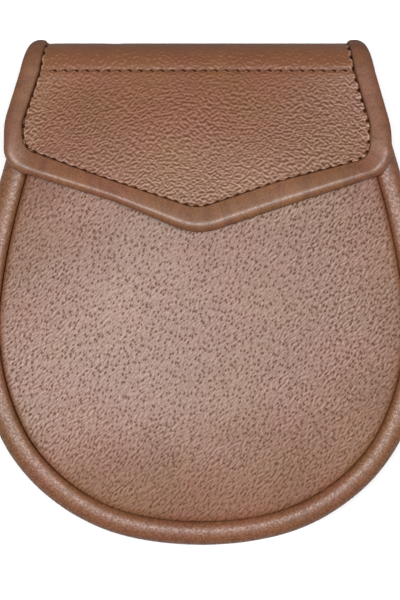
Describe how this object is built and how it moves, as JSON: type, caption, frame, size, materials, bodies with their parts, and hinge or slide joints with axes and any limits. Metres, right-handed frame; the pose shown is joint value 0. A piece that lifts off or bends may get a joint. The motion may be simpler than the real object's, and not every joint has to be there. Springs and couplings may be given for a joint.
{
  "type": "sporran pouch",
  "caption": "Rounded leather sporran pouch with a padded rolled rim, a domed grained front, a deep gusset and a pointed flap with a rolled edge that folds over its mouth.",
  "frame": {"origin": "centre of the pouch's outline, on the surface it lies on", "axes": "+X to the right of the front when seen from outside, +Y towards the flap's fold, which is up when worn, +Z out of the front"},
  "size_m": [0.1822, 0.2023, 0.0434],
  "materials": {
    "pigskin_front": "grained pigskin with dark pores, satin",
    "roll_leather": "fine grain, polished along the crest of the roll",
    "gusset_leather": "soft fine grain, satin",
    "back_leather": "smooth, matt",
    "flap_leather": "pebbled grain, satin",
    "binding_leather": "smooth, lightly polished",
    "stud_metal": "dull antique brass",
    "thread": "waxed sewing thread"
  },
  "bodies": {
    "root": {"front_panel": "pigskin_front", "rim_roll": "roll_leather", "gusset": "gusset_leather", "back_roll": "roll_leather", "back_panel": "back_leather", "flap_panel": "flap_leather", "flap_binding": "binding_leather", "snap_stud": "stud_metal", "back_loop_left": "back_leather", "back_loop_right": "back_leather"}
  },
  "joints": []
}
